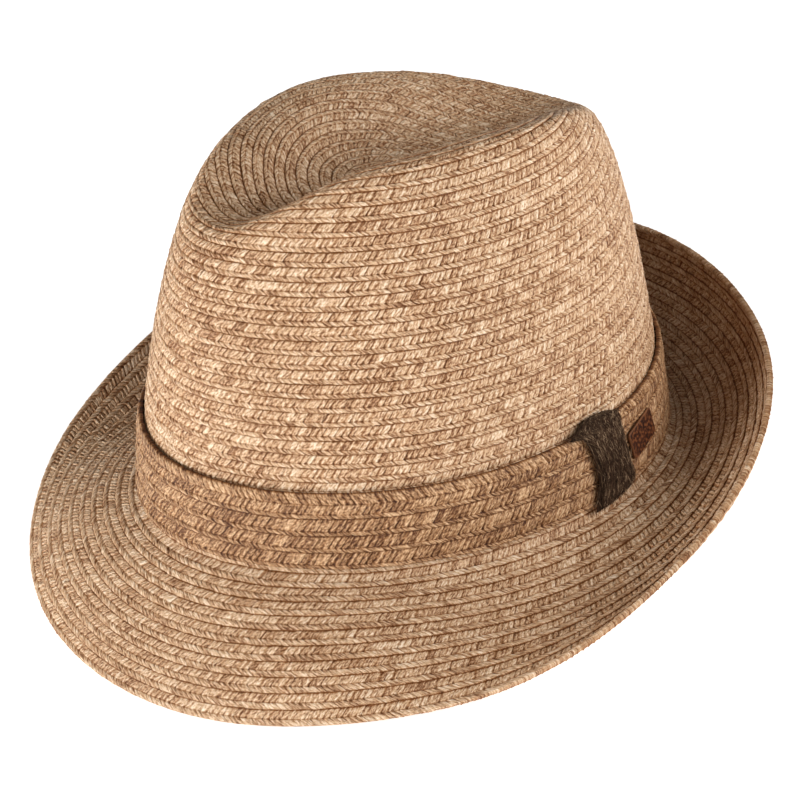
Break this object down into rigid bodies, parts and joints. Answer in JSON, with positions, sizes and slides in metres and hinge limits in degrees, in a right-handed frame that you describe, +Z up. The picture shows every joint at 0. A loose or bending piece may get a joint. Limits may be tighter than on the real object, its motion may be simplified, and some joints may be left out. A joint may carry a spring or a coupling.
{
  "type": "trilby",
  "caption": "Short-brimmed straw braid trilby with a teardrop dent, a snapped-down front, a rolled back and a braid band with a wool keeper.",
  "frame": {"origin": "centre of the hat's box on the surface that it rests on", "axes": "+Z up, -Y towards the front of the hat, +X towards the wearer's left, where the keeper is"},
  "size_m": [0.269, 0.2744, 0.143],
  "materials": {
    "straw_braid": "matt plaited straw, sewn in lapped rows",
    "band_braid": "matt plaited straw, a shade darker",
    "wool": "napped dark wool tweed",
    "leather": "smooth waxed leather"
  },
  "bodies": {
    "root": {"crown": "straw_braid", "brim": "straw_braid", "band": "band_braid", "keeper": "wool", "patch": "leather"}
  },
  "joints": []
}
